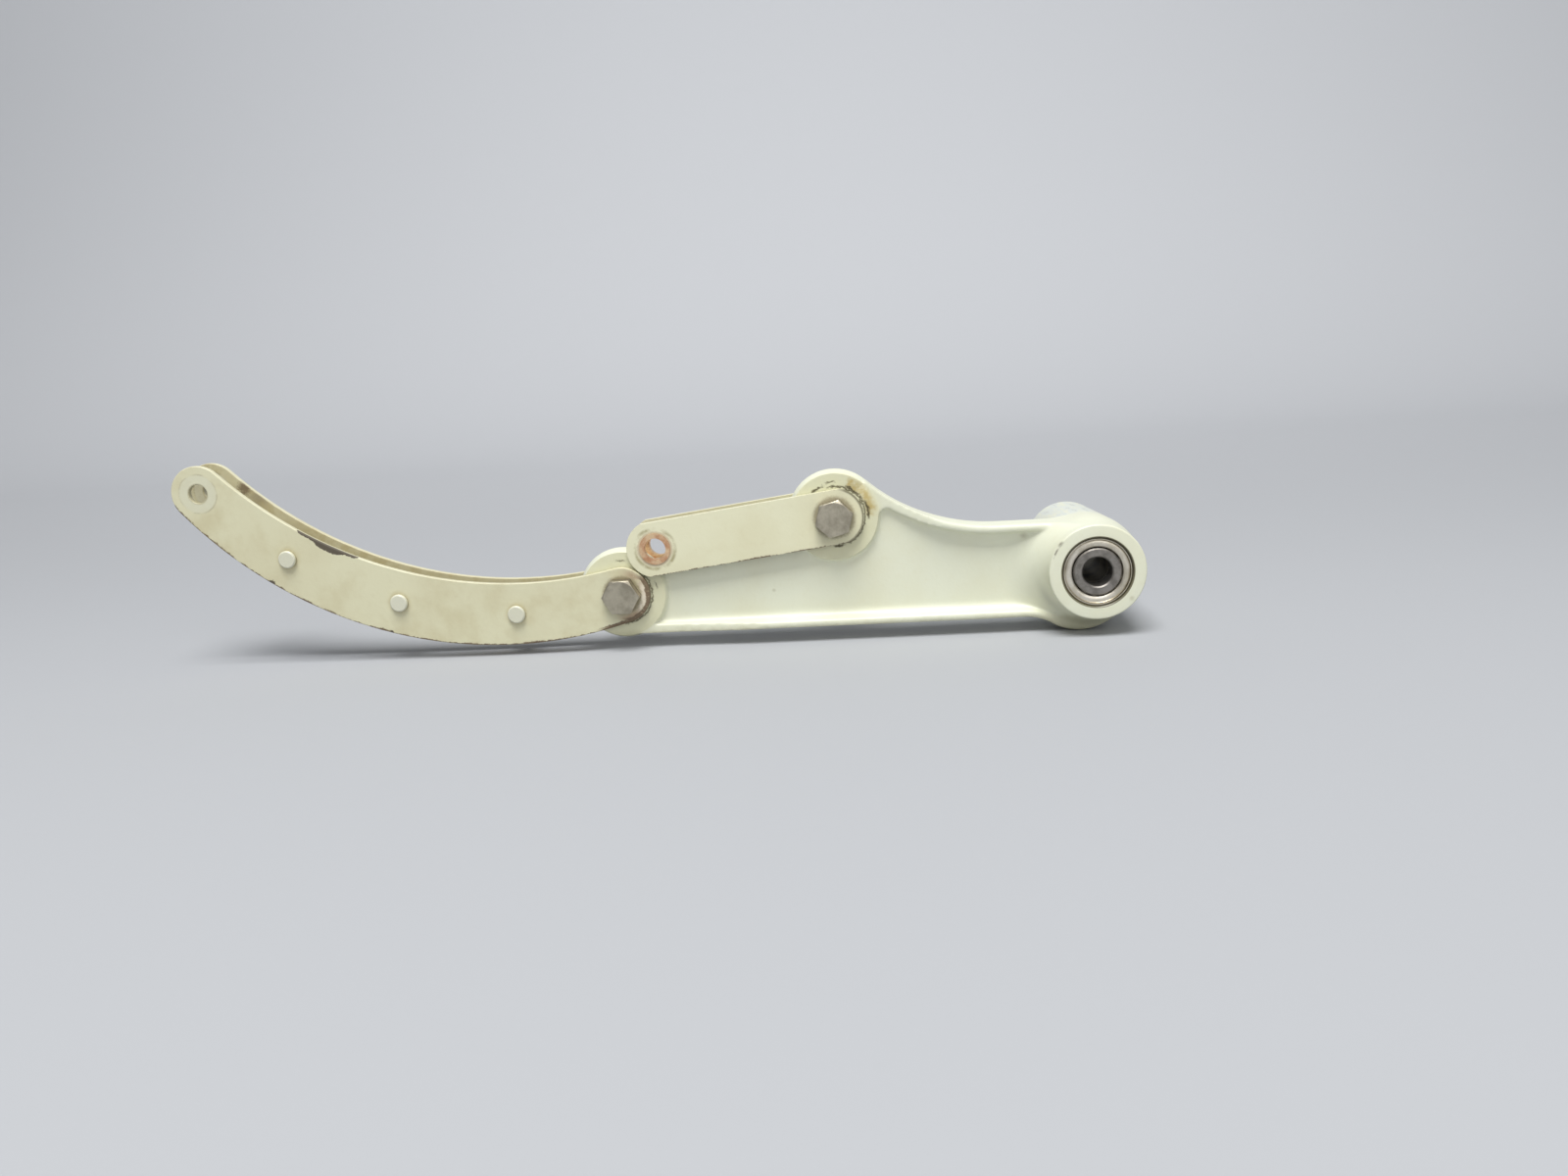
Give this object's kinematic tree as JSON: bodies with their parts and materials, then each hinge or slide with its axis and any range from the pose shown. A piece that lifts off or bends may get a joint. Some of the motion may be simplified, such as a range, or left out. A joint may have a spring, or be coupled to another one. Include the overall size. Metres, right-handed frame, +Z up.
{
  "type": "aircraft bellcrank",
  "caption": "Forged control bellcrank arm on a long bearing hub, with a short straight link and a curved riveted link pinned to its bosses.",
  "frame": {"origin": "on the hub axis, in the arm's middle plane", "axes": "+Y along the hub axis towards the long rear end of the hub, -X from the hub along the arm, +Z up"},
  "size_m": [0.3219, 0.065, 0.0703],
  "materials": {
    "arm_paint": "pale cream-green semi-gloss paint over an aluminium forging, greasy and worn round the bosses",
    "link_paint": "pale cream-green semi-gloss paint over steel plate, chipped with rust at the edges",
    "bare_steel": "dull plated steel, grimy in the corners",
    "bright_steel": "polished steel",
    "dark_steel": "matte dark steel with a film of grease",
    "cadmium": "dull yellowish plating",
    "bronze": "dull bronze, darkened by oil"
  },
  "bodies": {
    "arm": {"bellcrank_arm": "arm_paint", "upper_boss_bushing": "bare_steel", "lower_boss_bushing": "bare_steel", "front_bearing_outer_ring": "bright_steel", "front_bearing_balls": "bright_steel", "front_bearing_shields": "bright_steel", "rear_bearing_outer_ring": "bright_steel", "rear_bearing_balls": "bright_steel", "rear_bearing_shields": "bright_steel"},
    "inner_races": {"front_bearing_inner_ring": "dark_steel", "rear_bearing_inner_ring": "dark_steel", "bearing_spacer": "bare_steel"},
    "curved_link": {"curved_link_front_plate": "link_paint", "curved_link_rear_plate": "link_paint", "curved_link_spacers": "bare_steel", "curved_link_rivets": "link_paint", "lower_pivot_bolt": "bare_steel", "lower_pivot_washer": "cadmium", "lower_pivot_nut": "cadmium", "lower_pivot_cotter_pin": "bright_steel"},
    "short_link": {"short_link_front_plate": "link_paint", "short_link_rear_plate": "link_paint", "short_link_front_bushing": "bronze", "short_link_rear_bushing": "bronze", "upper_pivot_bolt": "bare_steel", "upper_pivot_washer": "cadmium", "upper_pivot_nut": "cadmium", "upper_pivot_cotter_pin": "bright_steel"}
  },
  "joints": [
    {"name": "hub_spin", "type": "hinge", "parent": "arm", "child": "inner_races", "pos_m": [0, 0, 0], "axis": [0, 1, 0], "continuous": true},
    {"name": "curved_link_pivot", "type": "hinge", "parent": "arm", "child": "curved_link", "pos_m": [-0.155, 0, -0.0022], "axis": [0, 1, 0], "range_deg": [-80, 0]},
    {"name": "short_link_pivot", "type": "hinge", "parent": "arm", "child": "short_link", "pos_m": [-0.0827, 0, 0.0203], "axis": [0, 1, 0], "range_deg": [0, 95]}
  ]
}
